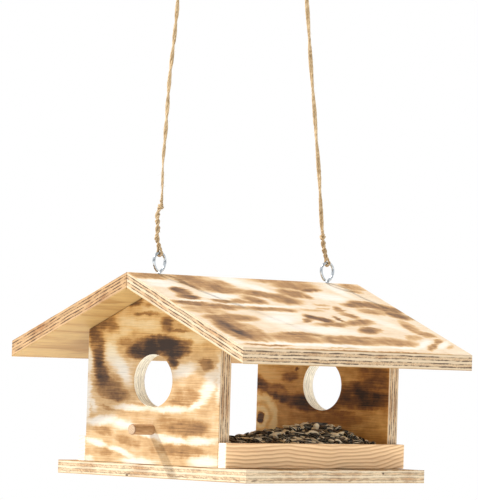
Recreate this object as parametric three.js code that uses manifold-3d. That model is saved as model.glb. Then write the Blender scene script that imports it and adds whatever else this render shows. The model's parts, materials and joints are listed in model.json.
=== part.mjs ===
// A hanging bird feeder: an open plywood house with a round hole and a perch in each gable, a seed
// tray kept in by two low rails, and a gable roof that hangs from two lengths of jute twine.
//
// Millimetres, +Z up. The ridge runs along X, with the front gable at -X, and the open sides face
// -Y (near) and +Y (far). The origin is on the level line that both top loops hang from, straight
// above the middle of the house. Inside the house group, z = 0 is the top face of the base board.

import * as THREE from "three";
import { mergeVertices } from "three/addons/utils/BufferGeometryUtils.js";
import Module from "manifold-3d";

// ---- Driving dimensions ----

const HOUSE_LENGTH = 258; // outer face to outer face of the two gables, along X
const HOUSE_WIDTH = 172; // width of a gable, along Y
const GABLE_THICKNESS = 15;
const BASE_WIDTH = 244;
const BASE_THICKNESS = 12.5;
const RAIL_THICKNESS = 9.5;
const RAIL_HEIGHT = 23.5;

const ROOF_LENGTH = 332;
const ROOF_SHIFT = -3; // the roof sits this far forward of the house's middle
const ROOF_HALF_SPAN = 150; // ridge to eave, measured level
const ROOF_THICKNESS = 14;
const RIDGE_HEIGHT = 180.5;
const EAVE_HEIGHT = 113; // top edge of the eave

const HOLE_RADIUS = 25;
const HOLE_HEIGHT = 79;
const PERCH_RADIUS = 5;
const PERCH_HEIGHT = 33;
const PERCH_REACH = 27; // how far a perch stands out of its gable

const EYE_X = { front: -125.2, back: 116.5 }; // the screw eyes' shanks, along the ridge
const EYE_WIRE_RADIUS = 1.2;
const EYE_RING_RADIUS = 7.9; // of the wire's centre line
const EYE_HEIGHT = 19.3; // ridge to the wire's centre line at the top of the ring
const EYE_SHANK_LENGTH = 32;
const EYE_TURN = { front: 0.4, back: -8.3 }; // degrees that each ring is turned about its shank

const TWINE_RADIUS = 1.6;
const HITCH_RADIUS = 2.3; // twine doubled back and twisted round itself
const LOOP_TWINE_RADIUS = 1.4;
const HANG_HEIGHT = 512; // base board's top face to the line that the loops hang from
const TOP_KNOT_HEIGHT = 472; // where each twine enters its top knot

const SEED_LEVEL = 21.5; // seed depth along the far side
const SEED_PEAK = 41;

const GAP = 0.3; // left between pieces that touch

// ---- Sizes worked out from them ----

const GABLE_OUTER = HOUSE_LENGTH / 2;
const GABLE_INNER = GABLE_OUTER - GABLE_THICKNESS;
const GABLE_MIDDLE = (GABLE_OUTER + GABLE_INNER) / 2;
const HALF_WIDTH = HOUSE_WIDTH / 2;
const ROOF_SLOPE = (RIDGE_HEIGHT - EAVE_HEIGHT) / ROOF_HALF_SPAN;
const ROOF_PITCH = Math.atan(ROOF_SLOPE);
const ROOF_PLUMB = ROOF_THICKNESS / Math.cos(ROOF_PITCH); // thickness measured upright
const EYE_TOP = RIDGE_HEIGHT + EYE_HEIGHT; // the axis that the house swings on

const ENDS = { front: -1, back: 1 };
const SIDES = { near: -1, far: 1 };
const roofTop = (y) => RIDGE_HEIGHT - ROOF_SLOPE * Math.abs(y);
const roofUnderside = (y) => roofTop(y) - ROOF_PLUMB;

// ---- Materials ----

const finish = (color, roughness, metalness = 0) =>
  new THREE.MeshStandardMaterial({ color, roughness, metalness });
const FLAMED_PLY = finish(0xc9a27c, 0.72);
const BASE_PLY = finish(0xe2c9a4, 0.75);
const PINE = finish(0xdcb280, 0.68);
const ZINC = finish(0xc4c9cc, 0.32, 0.95);
const BLACK_STEEL = finish(0x4a4540, 0.5, 0.8);
const JUTE = finish(0xc3a273, 0.95);
const SEED = finish(0x3a332c, 0.6);

// ---- Joining and cutting ----

const wasm = await Module();
wasm.setup();

function solidOf(geometry) {
  const bare = geometry.index ? geometry.toNonIndexed() : geometry.clone();
  bare.deleteAttribute("normal");
  bare.deleteAttribute("uv");
  const merged = mergeVertices(bare, 1e-4);
  return new wasm.Manifold(
    new wasm.Mesh({
      numProp: 3,
      vertProperties: merged.attributes.position.array,
      triVerts: new Uint32Array(merged.index.array),
    }),
  );
}

function geometryOf(solid) {
  const { vertProperties, triVerts } = solid.getMesh();
  const geometry = new THREE.BufferGeometry();
  geometry.setAttribute("position", new THREE.BufferAttribute(vertProperties, 3));
  geometry.setIndex(new THREE.BufferAttribute(triVerts, 1));
  geometry.computeVertexNormals();
  return geometry;
}

const cut = (body, ...tools) =>
  geometryOf(tools.reduce((left, tool) => left.subtract(solidOf(tool)), solidOf(body)));
const join = (first, ...others) =>
  geometryOf(others.reduce((whole, other) => whole.add(solidOf(other)), solidOf(first)));

// ---- Building blocks ----

const X = new THREE.Vector3(1, 0, 0);
const Y = new THREE.Vector3(0, 1, 0);
const Z = new THREE.Vector3(0, 0, 1);

function circle(radius, sides) {
  const shape = new THREE.Shape();
  for (let i = 0; i < sides; i++) {
    const angle = (i / sides) * 2 * Math.PI;
    const point = [radius * Math.cos(angle), radius * Math.sin(angle)];
    if (i === 0) shape.moveTo(...point);
    else shape.lineTo(...point);
  }
  return shape;
}

// A flat outline drawn in (y, z), given a thickness along X from x = 0.
function acrossX(shape, thickness, curveSegments = 12) {
  const geometry = new THREE.ExtrudeGeometry(shape, {
    depth: thickness,
    bevelEnabled: false,
    curveSegments,
  });
  return geometry.applyMatrix4(new THREE.Matrix4().makeBasis(Y, Z, X));
}

function tube(points, radius, sides, steps) {
  return new THREE.ExtrudeGeometry(circle(radius, sides), {
    steps,
    bevelEnabled: false,
    extrudePath: new THREE.CatmullRomCurve3(points, false, "centripetal"),
  });
}

// Turns a shape whose axis is +Y so that it points along direction, then puts its y = 0 at a point.
function along(geometry, direction, at) {
  const turn = new THREE.Quaternion().setFromUnitVectors(Y, direction.clone().normalize());
  return geometry.applyQuaternion(turn).translate(at.x, at.y, at.z);
}

// A straight bore that starts at a point and runs along direction.
function bore(radius, length, at, direction, sides = 12) {
  const cylinder = new THREE.CylinderGeometry(radius, radius, length, sides);
  return along(cylinder.translate(0, length / 2, 0), direction, at);
}

// ---- Group ----

const feeder = new THREE.Group();
const house = new THREE.Group();
house.position.z = -HANG_HEIGHT;
feeder.add(house);

function addPiece(name, geometry, material) {
  const mesh = new THREE.Mesh(geometry, material);
  mesh.name = name;
  house.add(mesh);
  return mesh;
}

// ---- Fasteners ----
// Each fastener is listed once, with the point where its head meets the wood and the way it points.
// The same list drives the clearance bores in the boards.

const BRAD = { shank: 0.8, head: 1.2, headDepth: 1, length: 28, bore: 1.15, headBore: 1.6 };
const SCREW = { shank: 1.7, head: 3.6, headDepth: 3, length: 34, bore: 2.05, headBore: 4.0 };
const SCREW_INSET = 50; // base screws, each side of the middle of a gable
const RAIL_BRAD_HEIGHT = 12;
const ROOF_BRADS = { upper: 32, lower: 70 }; // level distance from the ridge
const SUNK = 0.4; // heads lie this far below the face

const fasteners = [];
for (const end of Object.keys(ENDS)) {
  const x = ENDS[end] * GABLE_MIDDLE;
  for (const side of Object.keys(SIDES)) {
    const out = SIDES[side];
    fasteners.push({
      name: `base_screw_${end}_${side}`,
      boards: ["base", end],
      type: SCREW,
      at: new THREE.Vector3(x, out * SCREW_INSET, -BASE_THICKNESS),
      direction: Z,
    });
    fasteners.push({
      name: `rail_brad_${end}_${side}`,
      boards: [`${side}_rail`, end],
      type: BRAD,
      at: new THREE.Vector3(x, out * (HALF_WIDTH + GAP + RAIL_THICKNESS), RAIL_BRAD_HEIGHT),
      direction: Y.clone().multiplyScalar(-out),
    });
    for (const row of Object.keys(ROOF_BRADS)) {
      const y = ROOF_BRADS[row];
      fasteners.push({
        name: `roof_brad_${end}_${side}_${row}`,
        boards: [`${side}_roof`, end],
        type: BRAD,
        at: new THREE.Vector3(x, out * y, roofTop(y)),
        direction: new THREE.Vector3(0, -out * Math.sin(ROOF_PITCH), -Math.cos(ROOF_PITCH)),
      });
    }
  }
}

// The clearance bores for every fastener that goes through one board.
function boresIn(board) {
  const tools = [];
  for (const { boards, type, at, direction } of fasteners) {
    if (!boards.includes(board)) continue;
    const start = at.clone().addScaledVector(direction, -1);
    tools.push(bore(type.bore, type.length + 2, start, direction, 10));
    if (boards[0] === board) {
      const deep = 1 + SUNK + type.headDepth + GAP;
      tools.push(bore(type.headBore, deep, start, direction, 16));
    }
  }
  return tools;
}

// Head, shank and point of a brad or a screw, turned about +Y with its head at y = 0.
function fastener({ shank, head, headDepth, length }, countersunk) {
  const neck = countersunk ? headDepth : headDepth * 0.7;
  const profile = [
    new THREE.Vector2(0, 0),
    new THREE.Vector2(head, 0),
    new THREE.Vector2(countersunk ? head * 0.94 : head, headDepth * 0.25),
    new THREE.Vector2(shank, neck),
    new THREE.Vector2(shank, length - 4),
    new THREE.Vector2(0, length),
  ];
  return new THREE.LatheGeometry(profile, 12);
}

// A cross recess for a screwdriver, cut 1.6 mm into the head.
function crossRecess() {
  return [0, Math.PI / 2].map((turn) => {
    const slot = new THREE.BoxGeometry(3.6, 3.2, 0.9);
    return slot.rotateY(turn);
  });
}

function addFasteners() {
  for (const { name, type, at, direction } of fasteners) {
    const isScrew = type === SCREW;
    const plain = fastener(type, isScrew);
    const geometry = isScrew ? cut(plain, ...crossRecess()) : plain;
    const sunkAt = at.clone().addScaledVector(direction, SUNK);
    addPiece(name, along(geometry, direction, sunkAt), isScrew ? ZINC : BLACK_STEEL);
  }
}

// ---- Boards ----

function addBase() {
  const board = new THREE.BoxGeometry(HOUSE_LENGTH, BASE_WIDTH, BASE_THICKNESS);
  board.translate(0, 0, -BASE_THICKNESS / 2);
  addPiece("base_board", cut(board, ...boresIn("base")), BASE_PLY);
}

// A five-sided gable with its round hole and the bore for its perch.
function addGable(end) {
  const shoulder = roofUnderside(HALF_WIDTH) - GAP;
  const outline = new THREE.Shape();
  outline.moveTo(-HALF_WIDTH, GAP);
  outline.lineTo(HALF_WIDTH, GAP);
  outline.lineTo(HALF_WIDTH, shoulder);
  outline.lineTo(0, roofUnderside(0) - GAP);
  outline.lineTo(-HALF_WIDTH, shoulder);
  outline.closePath();
  const hole = new THREE.Path();
  hole.absarc(0, HOLE_HEIGHT, HOLE_RADIUS, 0, 2 * Math.PI, true);
  const perchBore = new THREE.Path();
  perchBore.absarc(0, PERCH_HEIGHT, PERCH_RADIUS + GAP, 0, 2 * Math.PI, true);
  outline.holes.push(hole, perchBore);
  const board = acrossX(outline, GABLE_THICKNESS, 20);
  board.translate(end === "front" ? -GABLE_OUTER : GABLE_INNER, 0, 0);
  addPiece(`${end}_gable`, cut(board, ...boresIn(end), shankBore(end)), FLAMED_PLY);
}

// One roof panel, cut plumb at the ridge and at the eave.
function addRoofPanel(side) {
  const out = SIDES[side];
  const ridge = out * (GAP / 2);
  const eave = out * ROOF_HALF_SPAN;
  const outline = new THREE.Shape();
  outline.moveTo(ridge, roofTop(ridge));
  outline.lineTo(eave, roofTop(eave));
  outline.lineTo(eave, roofUnderside(eave));
  outline.lineTo(ridge, roofUnderside(ridge));
  outline.closePath();
  const panel = acrossX(outline, ROOF_LENGTH);
  panel.translate(ROOF_SHIFT - ROOF_LENGTH / 2, 0, 0);
  const tools = [...boresIn(`${side}_roof`), shankBore("front"), shankBore("back")];
  addPiece(`${side}_roof_panel`, cut(panel, ...tools), FLAMED_PLY);
}

function addRail(side) {
  const rail = new THREE.BoxGeometry(HOUSE_LENGTH, RAIL_THICKNESS, RAIL_HEIGHT);
  const y = SIDES[side] * (HALF_WIDTH + GAP + RAIL_THICKNESS / 2);
  rail.translate(0, y, GAP + RAIL_HEIGHT / 2);
  addPiece(`${side}_seed_rail`, cut(rail, ...boresIn(`${side}_rail`)), PINE);
}

// A dowel that goes right through its gable, with a slightly rounded outer end.
function addPerch(end) {
  const round = 0.6;
  const length = GABLE_THICKNESS + PERCH_REACH;
  const profile = [
    new THREE.Vector2(0, 0),
    new THREE.Vector2(PERCH_RADIUS, 0),
    new THREE.Vector2(PERCH_RADIUS, length - round),
    new THREE.Vector2(PERCH_RADIUS - round, length),
    new THREE.Vector2(0, length),
  ];
  const outwards = X.clone().multiplyScalar(ENDS[end]);
  const inner = new THREE.Vector3(ENDS[end] * GABLE_INNER, 0, PERCH_HEIGHT);
  addPiece(`${end}_perch`, along(new THREE.LatheGeometry(profile, 24), outwards, inner), PINE);
}

// ---- Screw eyes ----

const THREAD_RADIUS = 1.6;
const THREAD_PITCH = 4;
const EYE_BORE_RADIUS = 2;

function shankBore(end) {
  const bottom = new THREE.Vector3(EYE_X[end], 0, RIDGE_HEIGHT - EYE_SHANK_LENGTH - 1);
  return bore(EYE_BORE_RADIUS, EYE_SHANK_LENGTH + 3, bottom, Z);
}

// The wire's centre line: up the shank, then once round the ring, stopping short of the shank again.
// The ring is drawn out to a blunt point at the bottom. Ridge level is z = 0.
function eyeCentreLine() {
  const centre = EYE_HEIGHT - EYE_RING_RADIUS;
  const points = [new THREE.Vector3(0, 0, -6), new THREE.Vector3(0, 0, -0.5)];
  const steps = 22;
  const first = 0.34;
  const last = 2 * Math.PI - 0.44;
  for (let i = 0; i <= steps; i++) {
    const angle = first + ((last - first) * i) / steps;
    const low = Math.cos(angle / 2) ** 4;
    const x = EYE_RING_RADIUS * Math.sin(angle) * (1 - 0.12 * low);
    const z = centre - EYE_RING_RADIUS * Math.cos(angle) - 1.9 * low;
    points.push(new THREE.Vector3(x, 0, z));
  }
  return points;
}

// The threaded shank, with a pointed tip and one crest for each turn of the thread.
function threadedShank() {
  const tip = -EYE_SHANK_LENGTH;
  const profile = [new THREE.Vector2(0, tip)];
  for (let y = tip + THREAD_PITCH; y < -8; y += THREAD_PITCH) {
    profile.push(new THREE.Vector2(THREAD_RADIUS, y));
    profile.push(new THREE.Vector2(EYE_WIRE_RADIUS, y + THREAD_PITCH / 2));
  }
  profile.push(new THREE.Vector2(EYE_WIRE_RADIUS, -5));
  profile.push(new THREE.Vector2(0, -5));
  return new THREE.LatheGeometry(profile, 8).rotateX(Math.PI / 2);
}

function addScrewEye(end) {
  const ring = tube(eyeCentreLine(), EYE_WIRE_RADIUS, 8, 32);
  const eye = addPiece(`${end}_screw_eye`, join(ring, threadedShank()), ZINC);
  eye.position.set(EYE_X[end], 0, RIDGE_HEIGHT);
  eye.rotation.z = THREE.MathUtils.degToRad(EYE_TURN[end]);
}

// ---- Twine ----
// Each twine goes through its screw eye, is doubled back and twisted round itself as far as a knot,
// and then runs up single to the knot of its top loop. Points are [x, z] along that route.

const HITCH_ROUTE = {
  front: [[-126, 205.5], [-129.6, 213], [-128.9, 223], [-130, 235], [-126, 243.2]],
  back: [[114.6, 205.5], [110.8, 212.5], [108.4, 225]],
};
const TWINE_ROUTE = {
  front: [
    [-124.6, 246.8], [-124.4, 262], [-124.6, 287], [-122.6, 311], [-120.6, 345],
    [-118.6, 372], [-115.2, 399], [-112.6, 423], [-111.4, 441], [-110.6, 458], [-110, TOP_KNOT_HEIGHT],
  ],
  back: [
    [107.7, 228.8], [104.6, 251], [99.4, 291], [95, 317], [91.2, 342],
    [87.8, 363], [83.6, 388], [78.8, 422], [73.6, 457], [72, TOP_KNOT_HEIGHT],
  ],
};

const upright = ([x, z]) => new THREE.Vector3(x, 0, z);

function addTwine(end) {
  const points = TWINE_ROUTE[end].map(upright);
  addPiece(`${end}_twine`, tube(points, TWINE_RADIUS, 8, 32), JUTE);
}

// The part of a twine that goes under the wire of its eye and is twisted up to the knot.
function addEyeHitch(end) {
  const x = EYE_X[end];
  const reach = EYE_WIRE_RADIUS + LOOP_TWINE_RADIUS + 0.6;
  const bight = [];
  for (let i = 0; i <= 8; i++) {
    const angle = Math.PI + (Math.PI * i) / 8;
    const y = reach * Math.cos(angle);
    bight.push(new THREE.Vector3(x, y, EYE_TOP + reach * Math.sin(angle)));
  }
  const joined = upright(HITCH_ROUTE[end][0]);
  bight.unshift(joined.clone().add(new THREE.Vector3(0, -0.8, 1)));
  bight.push(joined.clone().add(new THREE.Vector3(0, 0.8, 1)));
  const route = HITCH_ROUTE[end].map(upright);
  const twisted = tube(route, HITCH_RADIUS, 8, route.length * 2);
  const knot = new THREE.SphereGeometry(3, 10, 7);
  const top = route[route.length - 1];
  knot.translate(top.x, top.y, top.z);
  const tail = bore(1.2, 6, top, new THREE.Vector3(-0.75, 0, 0.65), 8);
  const pieces = [tube(bight, LOOP_TWINE_RADIUS, 8, 14), knot, tail];
  addPiece(`${end}_eye_hitch`, join(twisted, ...pieces), JUTE);
}

// A loop that goes over what the feeder hangs from, closed by a knot at its foot.
function addTopLoop(end) {
  const [x, z] = TWINE_ROUTE[end][TWINE_ROUTE[end].length - 1];
  const knotHalf = 6;
  const knot = new THREE.SphereGeometry(1, 12, 8);
  knot.rotateX(Math.PI / 2).scale(4.2, 4.2, knotHalf);
  knot.translate(x, 0, z + GAP + knotHalf);
  const foot = z + GAP + knotHalf;
  const top = HANG_HEIGHT + LOOP_TWINE_RADIUS;
  const half = 9.5;
  const loop = [];
  for (let i = 0; i <= 16; i++) {
    const angle = (2 * Math.PI * i) / 16;
    const rise = (1 - Math.cos(angle)) / 2;
    const y = half * Math.sin(angle) * (0.62 + 0.38 * rise) + 0.9 * Math.cos(angle / 2);
    loop.push(new THREE.Vector3(x, y, foot + (top - foot) * rise ** 0.8));
  }
  addPiece(`${end}_top_loop`, join(knot, tube(loop, LOOP_TWINE_RADIUS, 8, 22)), JUTE);
}

// ---- Seed ----

// Depth of the seed at a point of the tray: banked up towards the back gable, nearer the near rail.
function seedDepth(x, y) {
  const crest = 76;
  const run = x < crest
    ? Math.sin((Math.PI / 2) * ((x + GABLE_INNER) / (crest + GABLE_INNER))) ** 1.6
    : Math.cos(((Math.PI / 2) * (x - crest)) / 46);
  const bank = 2.5 + (SEED_PEAK - SEED_LEVEL - 2.5) * run;
  return SEED_LEVEL + bank * Math.exp(-(((y + 30) / 42) ** 2));
}

function addSeed() {
  const length = 2 * (GABLE_INNER - GAP);
  const width = 2 * (HALF_WIDTH - GAP);
  const heap = new THREE.BoxGeometry(length, width, 1, 12, 9, 1);
  const place = heap.attributes.position;
  for (let i = 0; i < place.count; i++) {
    const isTop = place.getZ(i) > 0;
    place.setZ(i, isTop ? seedDepth(place.getX(i), place.getY(i)) : GAP);
  }
  addPiece("sunflower_seed", heap, SEED);
}

// ---- The whole feeder ----

addBase();
for (const end of Object.keys(ENDS)) {
  addGable(end);
  addPerch(end);
  addScrewEye(end);
  addEyeHitch(end);
  addTwine(end);
  addTopLoop(end);
}
for (const side of Object.keys(SIDES)) {
  addRoofPanel(side);
  addRail(side);
}
addSeed();
addFasteners();

export default feeder;
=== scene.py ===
"""The looks of the hanging bird feeder: flamed plywood, pine, zinc, jute twine and sunflower seed.

Metres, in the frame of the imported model: the ridge runs along X, the front gable faces -X, the open
sides face -Y and +Y, and z = 0 is the line that the two top loops hang from.
"""
import json
import math

import bmesh
import bpy
import numpy as np
from mathutils import Euler, Matrix, Vector
from mathutils.geometry import tessellate_polygon


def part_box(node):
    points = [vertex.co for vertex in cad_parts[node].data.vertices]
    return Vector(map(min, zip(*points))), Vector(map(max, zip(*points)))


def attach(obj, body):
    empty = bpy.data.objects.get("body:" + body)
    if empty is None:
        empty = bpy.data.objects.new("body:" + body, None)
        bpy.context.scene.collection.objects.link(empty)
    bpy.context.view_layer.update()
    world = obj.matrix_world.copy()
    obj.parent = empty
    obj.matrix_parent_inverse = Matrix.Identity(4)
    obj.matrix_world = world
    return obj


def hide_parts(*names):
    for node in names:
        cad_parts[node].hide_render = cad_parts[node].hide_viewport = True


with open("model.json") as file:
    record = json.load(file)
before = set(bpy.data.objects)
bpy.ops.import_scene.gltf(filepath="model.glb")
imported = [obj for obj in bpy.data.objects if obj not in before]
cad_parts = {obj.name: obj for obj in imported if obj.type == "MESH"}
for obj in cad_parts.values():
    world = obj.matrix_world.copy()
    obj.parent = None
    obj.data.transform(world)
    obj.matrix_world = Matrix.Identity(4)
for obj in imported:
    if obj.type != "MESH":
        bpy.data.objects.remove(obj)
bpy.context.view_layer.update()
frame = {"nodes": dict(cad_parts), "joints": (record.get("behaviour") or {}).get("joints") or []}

MM = 0.001

# ---- Places, from the frame ----

BASE_LOW, BASE_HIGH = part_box("base_board")
BASE_TOP = BASE_HIGH.z
GABLE_LOW, GABLE_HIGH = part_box("front_gable")
ROOF_LOW, ROOF_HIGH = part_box("near_roof_panel")
RIDGE = ROOF_HIGH.z
HINGE = Vector(frame["joints"][0]["pos_m"])  # the wire at the top of each screw eye
EYE_X = {"front": -125.2 * MM, "back": 116.5 * MM}  # the screw eyes' shanks

ROOF_THICKNESS = 14 * MM
EAVE_DROP = 67.5 * MM  # ridge to the eave's top edge
PITCH = math.atan(EAVE_DROP / -ROOF_LOW.y)
PLUMB = ROOF_THICKNESS / math.cos(PITCH)
HOLE_HEIGHT = 79 * MM
HOLE_RADIUS = 25 * MM
PERCH_HEIGHT = 33 * MM
PERCH_RADIUS = 5 * MM

ENDS = {"front": -1, "back": 1}
SIDES = {"near": -1, "far": 1}


def smooth(low, high, value):
    """Goes from 0 at low to 1 at high, easing in and out."""
    t = np.clip((value - low) / (high - low), 0, 1)
    return t * t * (3 - 2 * t)


# ---- Camera ----

VIEW_AZIMUTH = math.radians(-47.77)
VIEW_ELEVATION = math.radians(-1.59)
VIEW_ROLL = math.radians(1.8)
VIEW_DISTANCE = 3.87
VIEW_SIDESTEP = -9.4 * MM  # of the point looked at, along the camera's right
VIEW_HEIGHT = 207.5 * MM  # of that point above the base board
FOCAL_PIXELS = 4000
IMAGE_WIDTH = 478
SENSOR = 36.0
FAR_CLIP = 100


def add_camera():
    """The photo's own view, with the photo's slight roll."""
    a, e, r = VIEW_AZIMUTH, VIEW_ELEVATION, VIEW_ROLL
    back = Vector((math.sin(a) * math.cos(e), -math.cos(a) * math.cos(e), math.sin(e)))
    level = Vector((math.cos(a), math.sin(a), 0))
    upright = back.cross(level)
    right = level * math.cos(r) + upright * math.sin(r)
    up = upright * math.cos(r) - level * math.sin(r)
    place = Vector((0, 0, BASE_TOP + VIEW_HEIGHT)) + level * VIEW_SIDESTEP + back * VIEW_DISTANCE
    turn = Matrix((right, up, back)).transposed().to_4x4()
    camera = bpy.data.objects.new("camera", bpy.data.cameras.new("camera"))
    bpy.context.scene.collection.objects.link(camera)
    camera.matrix_world = Matrix.Translation(place) @ turn
    camera.data.sensor_fit = "HORIZONTAL"
    camera.data.sensor_width = SENSOR
    camera.data.lens = SENSOR * FOCAL_PIXELS / IMAGE_WIDTH
    camera.data.clip_end = FAR_CLIP
    bpy.context.scene.camera = camera


add_camera()

# ---- Meshes ----


def new_piece(name, vertices, faces, uvs=None):
    """A mesh object from arrays. uvs holds one (u, v) for each vertex."""
    mesh = bpy.data.meshes.new(name)
    mesh.from_pydata([tuple(v) for v in vertices], [], faces)
    if uvs is not None:
        layer = mesh.uv_layers.new(name="run")
        loops = np.empty(len(mesh.loops), int)
        mesh.loops.foreach_get("vertex_index", loops)
        layer.data.foreach_set("uv", np.asarray(uvs, np.float32)[loops].ravel())
    mesh.validate()
    mesh.polygons.foreach_set("use_smooth", [True] * len(mesh.polygons))
    piece = bpy.data.objects.new(name, mesh)
    bpy.context.scene.collection.objects.link(piece)
    return piece


def frames_along(points):
    """Two unit vectors square to the line at each point, carried along it without twist."""
    tangents = np.gradient(points, axis=0)
    tangents /= np.linalg.norm(tangents, axis=1)[:, None]
    start = np.array([0.0, 1.0, 0.0]) if abs(tangents[0][1]) < 0.9 else np.array([1.0, 0.0, 0.0])
    side = start - tangents[0] * (start @ tangents[0])
    sides = []
    for tangent in tangents:
        side = side - tangent * (side @ tangent)
        side = side / np.linalg.norm(side)
        sides.append(side)
    sides = np.array(sides)
    return sides, np.cross(tangents, sides)


def run_along(line):
    """Length along a line up to each of its points."""
    return np.concatenate([[0], np.cumsum(np.linalg.norm(np.diff(line, axis=0), axis=1))])


def tube_arrays(points, radii, sides, turn=0.0):
    """Vertices, faces and uvs of a tube with flat ends. v runs in centimetres of length."""
    points = np.asarray(points, float)
    radii = np.broadcast_to(np.asarray(radii, float), len(points))
    across, up = frames_along(points)
    run = run_along(points)
    angles = np.arange(sides + 1) / sides * 2 * math.pi
    twist = turn * run[:, None]
    cos, sin = np.cos(angles + twist), np.sin(angles + twist)
    rings = points[:, None] + radii[:, None, None] * (
        cos[..., None] * across[:, None] + sin[..., None] * up[:, None]
    )
    vertices = rings.reshape(-1, 3)
    u = np.broadcast_to(angles / (2 * math.pi), cos.shape)
    v = np.broadcast_to(run[:, None] * 100, cos.shape)
    uvs = np.stack([u, v], 2).reshape(-1, 2)
    row = sides + 1
    faces = []
    for i in range(len(points) - 1):
        for j in range(sides):
            a = i * row + j
            faces.append((a, a + 1, a + row + 1, a + row))
    ends = np.array([points[0], points[-1]])
    tips = [len(vertices), len(vertices) + 1]
    vertices = np.concatenate([vertices, ends])
    uvs = np.concatenate([uvs, [[0.5, 0], [0.5, run[-1] * 100]]])
    last = (len(points) - 1) * row
    for j in range(sides):
        faces.append((j + 1, j, tips[0]))
        faces.append((last + j, last + j + 1, tips[1]))
    return vertices, faces, uvs


def joined_piece(name, parts, merge=True):
    """One mesh from several (vertices, faces, uvs) parts."""
    vertices, faces, uvs, start = [], [], [], 0
    for part_vertices, part_faces, part_uvs in parts:
        vertices.append(part_vertices)
        faces += [tuple(i + start for i in face) for face in part_faces]
        uvs.append(part_uvs)
        start += len(part_vertices)
    piece = new_piece(name, np.concatenate(vertices), faces, np.concatenate(uvs))
    if merge:
        weld(piece)
    return piece


def weld(piece):
    """Joins vertices that lie in one place, and turns every face outward."""
    mesh = bmesh.new()
    mesh.from_mesh(piece.data)
    bmesh.ops.remove_doubles(mesh, verts=mesh.verts, dist=1e-7)
    bmesh.ops.recalc_face_normals(mesh, faces=mesh.faces)
    mesh.to_mesh(piece.data)
    mesh.free()


def spline(points, step):
    """Points about step apart on a smooth curve through the given ones."""
    p = np.asarray(points, float)
    p = np.vstack([2 * p[0] - p[1], p, 2 * p[-1] - p[-2]])
    out = []
    for i in range(1, len(p) - 2):
        count = max(2, int(np.linalg.norm(p[i + 1] - p[i]) / step))
        t = (np.arange(count) / count)[:, None]
        a = 2 * p[i]
        b = p[i + 1] - p[i - 1]
        c = 2 * p[i - 1] - 5 * p[i] + 4 * p[i + 1] - p[i + 2]
        d = -p[i - 1] + 3 * p[i] - 3 * p[i + 1] + p[i + 2]
        out.append(0.5 * (a + b * t + c * t**2 + d * t**3))
    out.append(p[-2][None])
    return np.concatenate(out)


# ---- Twine ----
# Each twine's route, the same as its solids have: [x, z] in millimetres, z up from the base board.

HITCH_ROUTE = {
    "front": [[-126, 205.5], [-129.6, 213], [-128.9, 223], [-130, 235], [-126, 243.2]],
    "back": [[114.6, 205.5], [110.8, 212.5], [108.4, 225]],
}
TWINE_ROUTE = {
    "front": [
        [-124.6, 246.8], [-124.4, 262], [-124.6, 287], [-122.6, 311], [-120.6, 345],
        [-118.6, 372], [-115.2, 399], [-112.6, 423], [-111.4, 441], [-110.6, 458], [-110, 472],
    ],
    "back": [
        [107.7, 228.8], [104.6, 251], [99.4, 291], [95, 317], [91.2, 342],
        [87.8, 363], [83.6, 388], [78.8, 422], [73.6, 457], [72, 472],
    ],
}
STRAND = 2.6 * MM  # across one strand where two are twisted together
THIN_TWINE = {"front": 2.5, "back": 2.8}  # across the twine just above the twist, in millimetres
THICKENS = {"front": (38, 60), "back": (0, 10)}  # from and to these heights above the twist
THICKENS_BY = 1.2
TWIST_PITCH = {"front": 15 * MM, "back": 12.5 * MM}
PLY_PITCH = {"front": 46 * MM, "back": 102 * MM}
PLY_PHASE = {"front": 0.9, "back": 2.61}
PLY_OFFSET, PLY_RADIUS = 0.23, 0.3  # of the twine's own width
FIBRE_TURN = 380  # radians each metre
FRAY = 0.05 * MM
TAIL_PITCH = 8 * MM
LOOP_PITCH = 9 * MM
RUN_SEED = {"front": 11, "back": 23}
TAIL_SEED = {"front": 31, "back": 43}
FUZZ_SEED = {"front": 71, "back": 83}
BIGHT_REACH = 2.7 * MM  # twine's centre to the wire's centre, where it goes under the wire
LEG_STEPS = ((2.1, 1.8), (1.35, 4.0))  # a leg's reach from the middle, and its rise over the wire
FUZZ_CLEAR = 5 * MM  # no loose fibres this close above the eyes, where they would rub
FUZZ_COUNT = 420
STEP = 0.5 * MM  # between points along the twine
FRAY_SPACING = 4 * MM
LUMP_SPACING = 2 * MM
BLEND = 4  # points of the twist left out where the bight runs into it
KNOT_RISE = 6.3 * MM  # of the top knot's middle above the end of the twine's run
LOOP_TOP = 1.4 * MM
LOOP_HALF_WIDTH = 9.5 * MM


def route_points(route):
    return [Vector((x * MM, 0, z * MM + BASE_TOP)) for x, z in route]


def eye_top(end):
    """The middle of the wire at the top of a screw eye."""
    return Vector((EYE_X[end], 0, HINGE.z))


def around(line, angle):
    """Unit vectors square to the line, each turned by its own angle."""
    across, up = frames_along(line)
    return np.cos(angle)[:, None] * across + np.sin(angle)[:, None] * up


def frayed(points, amount, seed):
    """Shifts each point a little sideways, so that a strand isn't perfectly even."""
    rng = np.random.default_rng(seed)
    knots = max(4, int(len(points) * STEP / FRAY_SPACING))
    wander = rng.normal(0, amount, (knots, 3))
    at = np.linspace(0, knots - 1, len(points))
    shift = np.stack([np.interp(at, np.arange(knots), wander[:, k]) for k in range(3)], 1)
    return points + shift


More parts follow.
